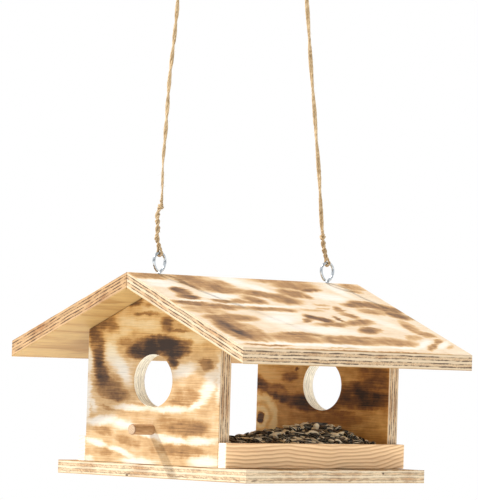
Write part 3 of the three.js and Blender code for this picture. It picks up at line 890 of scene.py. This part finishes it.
GABLE_REACH = -GABLE_LOW.x
GABLE_HOLE = (0.0, HOLE_HEIGHT / MM, HOLE_RADIUS / MM)
GABLE_THICKNESS = (GABLE_HIGH.x - GABLE_LOW.x) / MM
BASE_THICKNESS = (BASE_HIGH.z - BASE_LOW.z) / MM
MATERIALS = {
    "front_gable": plywood(
        "flamed_front_gable", *board_axes("gable", -1), GABLE_THICKNESS,
        (GABLE_BURNT, GABLE_PALE, 0.37, 3.0), wild(21.0), RAW_PLY, hole=GABLE_HOLE, golden=(84, 122)),
    "back_gable": plywood(
        "flamed_back_gable", *board_axes("gable", 1), GABLE_THICKNESS,
        wild(33.0), (BACK_BURNT, BACK_PALE, 0.41, 8.0, BACK_KNOTS), RAW_PLY, hole=GABLE_HOLE),
    "near_roof": plywood(
        "flamed_near_roof", *board_axes("roof", -1), ROOF_THICKNESS / MM,
        (ROOF_BURNT, ROOF_PALE, 0.20, 5.0), None, RAW_PLY),
    "far_roof": plywood(
        "flamed_far_roof", *board_axes("roof", 1), ROOF_THICKNESS / MM,
        wild(44.0), None, wood(226, 186, 138), edge_burn=0.4),
    "base": plywood(
        "base_plywood", ((0, 1, 0), (1, 0, 0), (0, 0, -1)), (0, 0, BASE_TOP), BASE_THICKNESS,
        wild(52.0), None, wood(255, 235, 200), edge_burn=0.2, line_strength=0.45,
        edge_knots=[(30, -129, 11.2, 2.6), (-122, 67, 3.2, 2.2)]),
}
STRAIGHT = ((1, 0, 0), (0, 1, 0), (0, 0, 1))
RING_WIDTH = 3.7  # from one year's ring to the next, in the pine
PERCH_END = 154.6, 155.2  # the dowels' sawn ends lie this far out
PERCH_CORNER = 3.9, 4.7  # and are darker this far from their axis
SAWN = 0.9, 0.4  # the rails' end grain shows this near their ends


def pine():
    """The rails: planed pine, its rings drawn up in a slow curve towards the back."""
    paint = Paint("pine")
    x, y, z = paint.place(*STRAIGHT, (0, 0, BASE_TOP))
    bend = paint.noise(paint.combine(x * 0.014, y * 0.02, z * 0.02), 1.0, 2.0)
    beyond = paint.math("MAXIMUM", x.times(0.01, -0.4), 0.0)
    sweep = paint.math("POWER", beyond, 2.0) * -12.0
    depth = (z + sweep) + (y * 0.35 + bend * 11.0)
    late = paint.band(paint.math("FRACT", depth / RING_WIDTH), 0.30, 0.80, 0.86, 1.0)
    fibre = paint.noise(paint.combine(x * 0.04, y, z), 1.8, 4.0, 0.6)
    stain = paint.noise(paint.combine(x * 0.02, y, z), 0.12, 3.0, 0.6)
    colour = paint.mix(late * 0.7, linear(242, 208, 162), linear(182, 136, 94))
    colour = paint.mix(paint.step(stain, 0.5, 0.75, 0.0, 0.35), colour, wood(200, 140, 90))
    colour = paint.shade(colour, fibre.times(0.42, 0.79))
    end = BASE_HIGH.x / MM
    sawn = paint.step(paint.math("ABSOLUTE", x), end - SAWN[0], end - SAWN[1])
    end_grain = paint.mix(late * 0.35, linear(236, 222, 200), linear(206, 170, 130))
    colour = paint.mix(sawn, colour, end_grain)
    return paint.finish(colour, fibre.times(0.2, 0.48), late + fibre, 0.3, 0.2 * MM,
                        Specular_IOR_Level=0.35)


def dowel():
    """The perches: turned dowel with rings, and darker round the eased corner of its sawn ends."""
    paint = Paint("dowel")
    x, y, z = paint.place(*STRAIGHT, (0, 0, BASE_TOP + PERCH_HEIGHT))
    fibre = paint.noise(paint.combine(x * 0.06, y, z), 1.5, 4.0, 0.6)
    from_pith = paint.vector("LENGTH", paint.combine(y + 3.0, z + 5.0))
    ring = paint.math("FRACT", from_pith * 0.75)
    colour = paint.mix(paint.step(fibre, 0.3, 0.7), wood(226, 182, 132), wood(172, 124, 80))
    end = paint.step(paint.math("ABSOLUTE", x), *PERCH_END)
    end_colour = paint.mix(paint.step(ring, 0.3, 1.0, 0.0, 0.7), wood(232, 204, 170), wood(166, 116, 78))
    from_axis = paint.vector("LENGTH", paint.combine(y, z))
    corner = paint.step(from_axis, *PERCH_CORNER, 0.0, 0.8)
    colour = paint.mix(end, colour, paint.mix(corner, end_colour, wood(150, 104, 66)))
    return paint.finish(colour, fibre.times(0.2, 0.5), fibre, 0.3, 0.15 * MM, Specular_IOR_Level=0.3)


def metal(name, tint, roughness, scratch):
    paint = Paint(name)
    here = paint.here()
    # Painted reflections: dark patches stand in for darker surroundings mirrored in the wire. The same
    # noise also varies the roughness.
    reflection_mottle = paint.noise(here, 420.0, 2.0, 0.5)
    fine = paint.noise(here, 4200.0, 2.0, 0.5)
    darker = (*(c * 0.42 for c in tint[:3]), 1.0)
    colour = paint.mix(paint.step(reflection_mottle, 0.42, 0.72), tint, darker)
    return paint.finish(colour, reflection_mottle.times(0.22, roughness), fine, scratch, 0.05 * MM, Metallic=1.0)


def jute():
    """Twine. Its uv map runs round a ply, and along it in centimetres."""
    paint = Paint("jute_twine")
    run = paint.out(paint.node("UVMap", uv_map="run"))
    here = paint.here()
    fibres = paint.noise(paint.vector("MULTIPLY", run, (9.0, 1.6, 1.0)), 1.0, 4.0, 0.7)
    patches = paint.noise(here, 160.0, 3.0, 0.6)
    fine = paint.noise(paint.vector("MULTIPLY", run, (24.0, 4.0, 1.0)), 1.0, 2.0, 0.6)
    colour = paint.ramp(fibres, [(0.30, linear(104, 84, 58)), (0.44, linear(166, 140, 104)),
                                 (0.58, linear(206, 184, 148)), (0.75, linear(232, 214, 182))])
    colour = paint.mix(paint.step(patches, 0.50, 0.72, 0.0, 0.5), colour, linear(126, 100, 64))
    return paint.finish(colour, fine.times(0.15, 0.75), fibres + fine * 0.5, 0.8, 0.35 * MM,
                        Specular_IOR_Level=0.15)


def seed_hull():
    """Sunflower hulls. u runs round a seed; v's whole part is the seed's own number."""
    paint = Paint("sunflower_hull")
    split = paint.node("SeparateXYZ", paint.out(paint.node("UVMap", uv_map="run")))
    around_hull, along = paint.out(split, 0), paint.out(split, 1)
    number = paint.math("FLOOR", along)
    white = paint.node("TexWhiteNoise", noise_dimensions="1D")
    paint.put(white.inputs["W"], number)
    own = paint.out(white)
    lengthwise = paint.math("FRACT", along)
    wobble = paint.noise(paint.combine(around_hull * 6.0, number, lengthwise), 1.5, 2.0)
    stripe = paint.math("FRACT", around_hull.times(5.0, wobble))
    pale = paint.band(stripe, 0.5, 0.62, 0.84, 0.97)
    striped = paint.step(paint.math("FRACT", own * 7.0), 0.5, 0.8)
    body = paint.ramp(own, [(0.0, linear(16, 14, 12)), (0.56, linear(26, 21, 17)),
                            (0.63, linear(76, 56, 36)), (0.71, linear(120, 92, 58)),
                            (0.78, linear(226, 206, 168)), (1.0, linear(245, 232, 204))])
    colour = paint.mix(pale * striped.times(0.7, 0.15), body, linear(248, 238, 214))
    fine = paint.noise(paint.combine(around_hull * 26.0, along * 3.0), 1.0, 3.0, 0.6)
    return paint.finish(colour, fine.times(0.25, 0.45), fine, 0.4, 0.1 * MM, Specular_IOR_Level=0.22)


def pale_floor():
    paint = Paint("pale_floor")
    here = paint.here()
    cloud = paint.noise(here, 1.3, 4.0, 0.6)
    fine = paint.noise(here, 90.0, 3.0, 0.6)
    colour = paint.mix(cloud, linear(240, 240, 238), linear(248, 247, 245))
    return paint.finish(colour, fine.times(0.1, 0.8), fine, 0.05, 0.2 * MM)


PINE = pine()
DOWEL = dowel()
ZINC = metal("zinc_steel", linear(190, 197, 203), 0.16, 0.15)
BRAD = metal("brad_steel", linear(170, 172, 176), 0.25, 0.25)
JUTE = jute()
HULL = seed_hull()


def settle(piece, material, node):
    """Gives a piece of the house its material, and its part in the model."""
    piece.data.materials.append(material)
    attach(piece, "house")
    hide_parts(node)


for twine in TWINE_PIECES:
    twine.data.materials.append(JUTE)
for name, node in frame["nodes"].items():
    if name.startswith(("base_screw", "rail_brad", "roof_brad")):
        for slot in node.material_slots:
            slot.material = ZINC if name.startswith("base_screw") else BRAD

# ---- Boards ----

EDGE_ROUND = 0.45 * MM
RAIL_ROUND = 0.7 * MM
BASE_ROUND = 0.3 * MM
ROOF_CLEARANCE = 0.3 * MM  # between the gables' tops and the roof
SCREW_CLEARANCE = 0.3 * MM
CORNER = math.radians(20)  # an edge that turns more than this is eased
SHARP = math.radians(12)  # and one that still turns more than this is shaded sharp


def circle(centre, radius, steps=96):
    turns = np.arange(steps) / steps * 2 * math.pi
    return [(centre[0] + radius * math.cos(a), centre[1] + radius * math.sin(a)) for a in turns]


def along_x(u, v, t):
    return t, u, v


def along_z(u, v, t):
    return u, v, t


def plate(name, outline, holes, start, end, to_frame, material, node, rounding=EDGE_ROUND):
    """A board cut to an outline, with holes, from start to end of its thickness, edges eased.

    to_frame is along_x or along_z: the way that the thickness runs.
    """
    loops = [outline, *holes]
    flat = [[Vector((u, v, 0)) for u, v in loop] for loop in loops]
    corners = [corner for loop in loops for corner in loop]
    triangles = tessellate_polygon(flat)
    count = len(corners)
    vertices = [to_frame(u, v, t) for t in (start, end) for u, v in corners]
    faces = [tuple(t) for t in triangles]
    faces += [tuple(i + count for i in reversed(t)) for t in triangles]
    first = 0
    for loop in loops:
        size = len(loop)
        for i in range(size):
            a, b = first + i, first + (i + 1) % size
            faces.append((a, b, b + count, a + count))
        first += size
    piece = new_piece(name, vertices, faces)
    mesh = bmesh.new()
    mesh.from_mesh(piece.data)
    bmesh.ops.recalc_face_normals(mesh, faces=mesh.faces)
    sharp = [e for e in mesh.edges if len(e.link_faces) == 2 and e.calc_face_angle(0) > CORNER]
    bmesh.ops.bevel(mesh, geom=sharp, offset=rounding, segments=2, affect="EDGES", profile=0.5,
                    clamp_overlap=False)
    mesh.to_mesh(piece.data)
    mesh.free()
    piece.data.polygons.foreach_set("use_smooth", [True] * len(piece.data.polygons))
    piece.data.set_sharp_from_angle(angle=SHARP)
    settle(piece, material, node)


def add_gable(end):
    low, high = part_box(f"{end}_gable")
    half = high.y
    apex = RIDGE - PLUMB - ROOF_CLEARANCE
    shoulder = apex - math.tan(PITCH) * half
    outline = [(-half, low.z), (half, low.z), (half, shoulder), (0, apex), (-half, shoulder)]
    hole = circle((0, BASE_TOP + HOLE_HEIGHT), HOLE_RADIUS)
    plate(f"{end}_gable_board", outline, [hole[::-1]], low.x, high.x,
          along_x, MATERIALS[f"{end}_gable"], f"{end}_gable")


def add_roof(side_name):
    """A roof panel, cut plumb at the ridge and at the eave."""
    side = SIDES[side_name]
    low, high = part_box(f"{side_name}_roof_panel")
    inner, outer = sorted((abs(low.y), abs(high.y)))
    slope = math.tan(PITCH)
    outline = [
        (side * inner, RIDGE - slope * inner), (side * outer, RIDGE - slope * outer),
        (side * outer, RIDGE - slope * outer - PLUMB), (side * inner, RIDGE - slope * inner - PLUMB),
    ]
    plate(f"{side_name}_roof_board", outline, [], low.x, high.x, along_x,
          MATERIALS[f"{side_name}_roof"], f"{side_name}_roof_panel")


def add_base():
    """The base board, open round the heads and shanks of its screws."""
    outline = [(BASE_LOW.x, BASE_LOW.y), (BASE_HIGH.x, BASE_LOW.y),
               (BASE_HIGH.x, BASE_HIGH.y), (BASE_LOW.x, BASE_HIGH.y)]
    holes = []
    for end in ENDS:
        for side in SIDES:
            low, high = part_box(f"base_screw_{end}_{side}")
            middle = (low + high) / 2
            radius = (high.x - low.x) / 2 + SCREW_CLEARANCE
            holes.append(circle((middle.x, middle.y), radius, 32)[::-1])
    plate("base_plate", outline, holes, BASE_LOW.z, BASE_HIGH.z, along_z,
          MATERIALS["base"], "base_board", BASE_ROUND)


def add_rail(side_name):
    low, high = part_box(f"{side_name}_seed_rail")
    outline = [(low.y, low.z), (high.y, low.z), (high.y, high.z), (low.y, high.z)]
    plate(f"{side_name}_rail", outline, [], low.x, high.x, along_x,
          PINE, f"{side_name}_seed_rail", RAIL_ROUND)


PERCH_EASE = 0.9 * MM
PERCH_SIDES = 40


def perch_end():
    """One end's profile, from the axis out: (how far in from the end, radius)."""
    profile = [(0.0, 0.0)]
    for i in range(5, -1, -1):
        a = math.pi / 2 * i / 5
        profile.append((PERCH_EASE * (1 - math.sin(a)), PERCH_RADIUS - PERCH_EASE * (1 - math.cos(a))))
    return profile


def add_perch(end):
    """A turned dowel, its ends eased."""
    low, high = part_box(f"{end}_perch")
    profile = [(low.x + inward, radius) for inward, radius in perch_end()]
    profile += [(high.x - inward, radius) for inward, radius in reversed(perch_end())]
    axis_z = BASE_TOP + PERCH_HEIGHT
    vertices, faces = [], []
    for x, radius in profile:
        for j in range(PERCH_SIDES):
            a = 2 * math.pi * j / PERCH_SIDES
            vertices.append((x, radius * math.cos(a), axis_z + radius * math.sin(a)))
    for i in range(len(profile) - 1):
        row = i * PERCH_SIDES
        for j in range(PERCH_SIDES):
            k = (j + 1) % PERCH_SIDES
            faces.append((row + j, row + k, row + PERCH_SIDES + k, row + PERCH_SIDES + j))
    piece = new_piece(f"{end}_perch_dowel", vertices, faces)
    weld(piece)
    piece.data.set_sharp_from_angle(angle=math.radians(40))
    settle(piece, DOWEL, f"{end}_perch")


EYE_TURN = {"front": math.radians(0.4), "back": math.radians(-8.3)}
EYE_RING = 7.9 * MM
EYE_WIRE = 1.4 * MM
RING_START = 0.34  # the ring's wire leaves the shank at this angle
RING_END = 2 * math.pi - 0.25  # and its free end stops short of it here
SHANK_TOP, SHANK_TIP = 4.5, 32.0  # millimetres below the ridge, the top inside the bent wire
SHANK_TAPER = 5 * MM
THREAD_PITCH = 1.4 * MM
THREAD_DEPTH = 0.28 * MM
THREAD_START = 6.5 * MM


def ring_line():
    """The bent wire's middle, in the ring's own plane: up out of the shank and round."""
    centre = HINGE.z - RIDGE - EYE_RING
    wire = [(0, 0, -5 * MM), (0, 0, -0.5 * MM)]
    for i in range(23):
        angle = RING_START + (RING_END - RING_START) * i / 22
        low = math.cos(angle / 2) ** 4
        wire.append((EYE_RING * math.sin(angle) * (1 - 0.12 * low), 0,
                     centre - EYE_RING * math.cos(angle) - 1.9 * MM * low))
    return spline(wire, 0.35 * MM)


def threaded_shank():
    depth = np.arange(SHANK_TOP, SHANK_TIP + 0.01, 0.1) * MM
    line = np.stack([0 * depth, 0 * depth, -depth], 1)
    thread = THREAD_DEPTH * np.sin(2 * math.pi * depth / THREAD_PITCH) * (depth > THREAD_START)
    taper = np.clip((SHANK_TIP * MM - depth) / SHANK_TAPER, 0.12, 1)
    return tube_arrays(line, (EYE_WIRE + thread) * taper, 20)


def add_screw_eye(end):
    """Bent zinc-plated wire: a ring with a small gap where it meets its own threaded shank."""
    line = ring_line()
    radii = np.full(len(line), EYE_WIRE)
    radii[-4:] *= np.array([0.97, 0.9, 0.75, 0.45])
    piece = joined_piece(f"{end}_eye_wire", [tube_arrays(line, radii, 24), threaded_shank()])
    turn = Matrix.Rotation(EYE_TURN[end], 4, "Z")
    piece.data.transform(Matrix.Translation((EYE_X[end], 0, RIDGE)) @ turn)
    settle(piece, ZINC, f"{end}_screw_eye")


for name in ENDS:
    add_gable(name)
    add_perch(name)
    add_screw_eye(name)
for name in SIDES:
    add_roof(name)
    add_rail(name)
add_base()

# ---- Seed ----
# Its sizes are in millimetres, and its heights run from the base board's top.

SEED_LEVEL = 21.5
SEED_PEAK = 43
SEED_CREST = 76  # where along the house the heap is highest
SEED_FRONT = -114  # where it starts to rise
SEED_FALL = 46  # the heap slopes down again over this, behind the crest
SEED_SUNK = 1.5  # the look's heap below the solid's
SEED_REACH = Vector((113.2, 85.2))  # to the walls and the rails
SEED_MARGIN = 5
SEED_COUNT = 1400
HULL_TILT = 0.24
HULL_SUNK = (0.2, 3.4)  # a hull's middle lies this far under the heap's surface
HULL_SIDES = 10
HULL_RINGS = 8
BED_COLUMNS, BED_ROWS = 115, 87
BED_SUNK = 2.6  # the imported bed's top below the heap's


def seed_surface(x, y):
    """Height of the heap above the base board, in millimetres, a little under its solid's."""
    climb = (x - SEED_FRONT) / (SEED_CREST - SEED_FRONT)
    rise = np.sin(math.pi / 2 * np.clip(climb, 0, 1)) ** 2.6
    fall = np.cos(math.pi / 2 * np.clip((x - SEED_CREST) / SEED_FALL, 0, 1))
    bank = (SEED_PEAK - SEED_LEVEL) * np.where(x < SEED_CREST, rise, fall)
    return SEED_LEVEL - SEED_SUNK + bank * np.exp(-(((y + 30) / 42) ** 2))


def hull_shape(length, width, depth, ridge):
    """One hull: pointed at the root, blunt at the crown, flattened, with ridged sides."""
    vertices, uvs, faces = [], [], []
    for i in range(HULL_RINGS + 1):
        t = i / HULL_RINGS
        round_off = math.sqrt(max(0.0, 1 - (2 * t - 1) ** 2))
        girth = max(0.03, round_off * (0.62 + 0.62 * t - 0.2 * t * t))
        for j in range(HULL_SIDES + 1):
            a = 2 * math.pi * j / HULL_SIDES
            rib = 1 + ridge * math.cos(5 * a)
            vertices.append(((t - 0.5) * length, width / 2 * girth * math.cos(a) * rib,
                             depth / 2 * girth * math.sin(a) * rib))
            uvs.append((j / HULL_SIDES, 0.05 + 0.9 * t))
    row = HULL_SIDES + 1
    for i in range(HULL_RINGS):
        for j in range(HULL_SIDES):
            a = i * row + j
            faces.append((a, a + row, a + row + 1, a + 1))
    return np.array(vertices), faces, np.array(uvs)


HULLS = [hull_shape(14.5, 6.2, 4.0, 0.04), hull_shape(13.2, 6.0, 4.4, 0.06),
         hull_shape(15.5, 5.8, 3.8, 0.03), hull_shape(12.4, 6.6, 3.8, 0.05)]


def add_seed():
    """Loose hulls lying on the bed at random. Each keeps inside the walls and the rails."""
    rng = np.random.default_rng(2024)
    parts = []
    spread = SEED_REACH - Vector((SEED_MARGIN, SEED_MARGIN))
    for number in range(SEED_COUNT):
        x = rng.uniform(-spread.x, spread.x)
        y = rng.uniform(-spread.y, spread.y)
        z = float(seed_surface(x, y)) + rng.uniform(-HULL_SUNK[1], -HULL_SUNK[0])
        tilt = rng.normal(0, HULL_TILT, 2)
        turn = Euler((tilt[0] + rng.uniform(-0.5, 0.5), tilt[1], rng.uniform(0, 2 * math.pi)))
        spin = np.array(turn.to_matrix())
        vertices, faces, uvs = HULLS[rng.integers(len(HULLS))]
        size = rng.uniform(0.88, 1.1)
        placed = vertices @ spin.T * size
        placed[:, 0] = np.clip(placed[:, 0] + x, -SEED_REACH.x, SEED_REACH.x)
        placed[:, 1] = np.clip(placed[:, 1] + y, -SEED_REACH.y, SEED_REACH.y)
        placed[:, 2] += z
        placed *= MM
        placed[:, 2] += BASE_TOP
        parts.append((placed, faces, uvs + [0, number]))
    return joined_piece("seed_hulls", parts, merge=False)


def add_seed_bed():
    """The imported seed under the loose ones, a closed heap with a pebbled top."""
    rng = np.random.default_rng(5)
    columns, rows = BED_COLUMNS, BED_ROWS
    xs = np.linspace(-SEED_REACH.x, SEED_REACH.x, columns)
    ys = np.linspace(-SEED_REACH.y, SEED_REACH.y, rows)
    grid_x, grid_y = np.meshgrid(xs, ys)
    top = seed_surface(grid_x, grid_y) - BED_SUNK + rng.uniform(-0.8, 0.8, grid_x.shape)
    bottom = np.full_like(top, 0.6)
    layers = [np.stack([grid_x, grid_y, z], 2).reshape(-1, 3) for z in (top, bottom)]
    vertices = np.concatenate(layers)
    vertices *= MM
    vertices[:, 2] += BASE_TOP
    count = rows * columns
    faces = []
    for i in range(rows - 1):
        for j in range(columns - 1):
            a = i * columns + j
            quad = (a, a + 1, a + columns + 1, a + columns)
            faces += [quad, tuple(k + count for k in reversed(quad))]
    rim = list(range(columns)) + [i * columns + columns - 1 for i in range(1, rows)]
    rim += [count - 1 - j for j in range(1, columns)] + [i * columns for i in range(rows - 2, 0, -1)]
    for a, b in zip(rim, rim[1:] + rim[:1]):
        faces.append((b, a, a + count, b + count))
    uvs = np.stack([vertices[:, 0] * 90, vertices[:, 1] * 90 + 40], 1)
    return new_piece("seed_bed", vertices, faces, uvs)


for heap in (add_seed_bed(), add_seed()):
    settle(heap, HULL, "sunflower_seed")

# ---- Floor and light ----

FLOOR_DROP = 0.55  # below the base board
FLOOR_REACH = 6.0
SUN_TRAVEL = Vector((0.40, -0.516, -0.757))
SUN_POWER = 5.0
SUN_SPREAD = math.radians(3.0)
SUN_COLOUR = (1.0, 0.95, 0.90)


def add_floor():
    height = BASE_LOW.z - FLOOR_DROP
    corners = ((-1, -1), (1, -1), (1, 1), (-1, 1))
    vertices = [(x * FLOOR_REACH, y * FLOOR_REACH, height) for x, y in corners]
    floor = new_piece("floor", vertices, [(0, 1, 2, 3)])
    floor.data.materials.append(pale_floor())


def add_light():
    """White light from all round, and a warm sun for the studio's main lamp."""
    world = bpy.data.worlds.new("studio")
    world.use_nodes = True
    background = world.node_tree.nodes["Background"]
    background.inputs["Color"].default_value = (1, 1, 1, 1)
    background.inputs["Strength"].default_value = 1.0
    bpy.context.scene.world = world
    sun = bpy.data.objects.new("sun", bpy.data.lights.new("sun", "SUN"))
    bpy.context.scene.collection.objects.link(sun)
    sun.data.energy = SUN_POWER
    sun.data.angle = SUN_SPREAD
    sun.data.color = SUN_COLOUR
    sun.rotation_euler = SUN_TRAVEL.to_track_quat("-Z", "Y").to_euler()
    bpy.context.scene.view_settings.view_transform = "Standard"


add_floor()
add_light()
